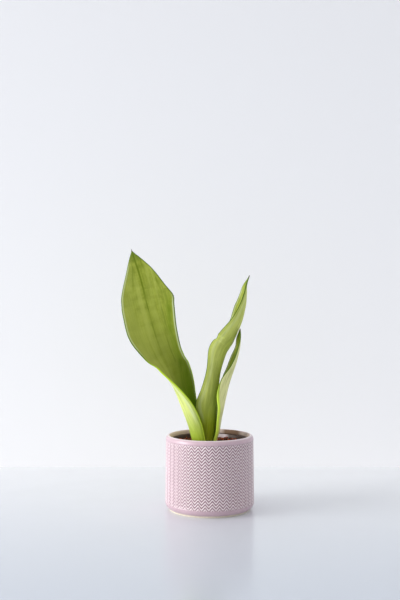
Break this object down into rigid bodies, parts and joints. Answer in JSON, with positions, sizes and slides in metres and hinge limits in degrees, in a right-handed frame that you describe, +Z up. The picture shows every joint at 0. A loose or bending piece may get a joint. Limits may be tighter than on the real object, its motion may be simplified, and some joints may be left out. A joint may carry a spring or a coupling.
{
  "type": "potted snake plant",
  "caption": "Snake plant with broad trough-shaped leaves, standing in a nursery pot inside a round glazed cover pot with raised chevron rows",
  "frame": {"origin": "middle of the flat foot of the cover pot, on the surface that it stands on", "axes": "+Z up along the pot's axis, -Y towards the viewer at the front, +X to the viewer's right; the large leaf leans to -X"},
  "size_m": [0.1825, 0.121, 0.3558],
  "materials": {
    "pink_glaze": "satin",
    "brown_plastic": "satin",
    "coir_mix": "matte",
    "rootstock": "matte",
    "leaf_green": "satin"
  },
  "bodies": {
    "root": {"ceramic_pot": "pink_glaze", "nursery_pot": "brown_plastic", "soil": "coir_mix", "rhizome": "rootstock", "leaf_left": "leaf_green", "leaf_middle": "leaf_green", "leaf_right": "leaf_green"}
  },
  "joints": []
}
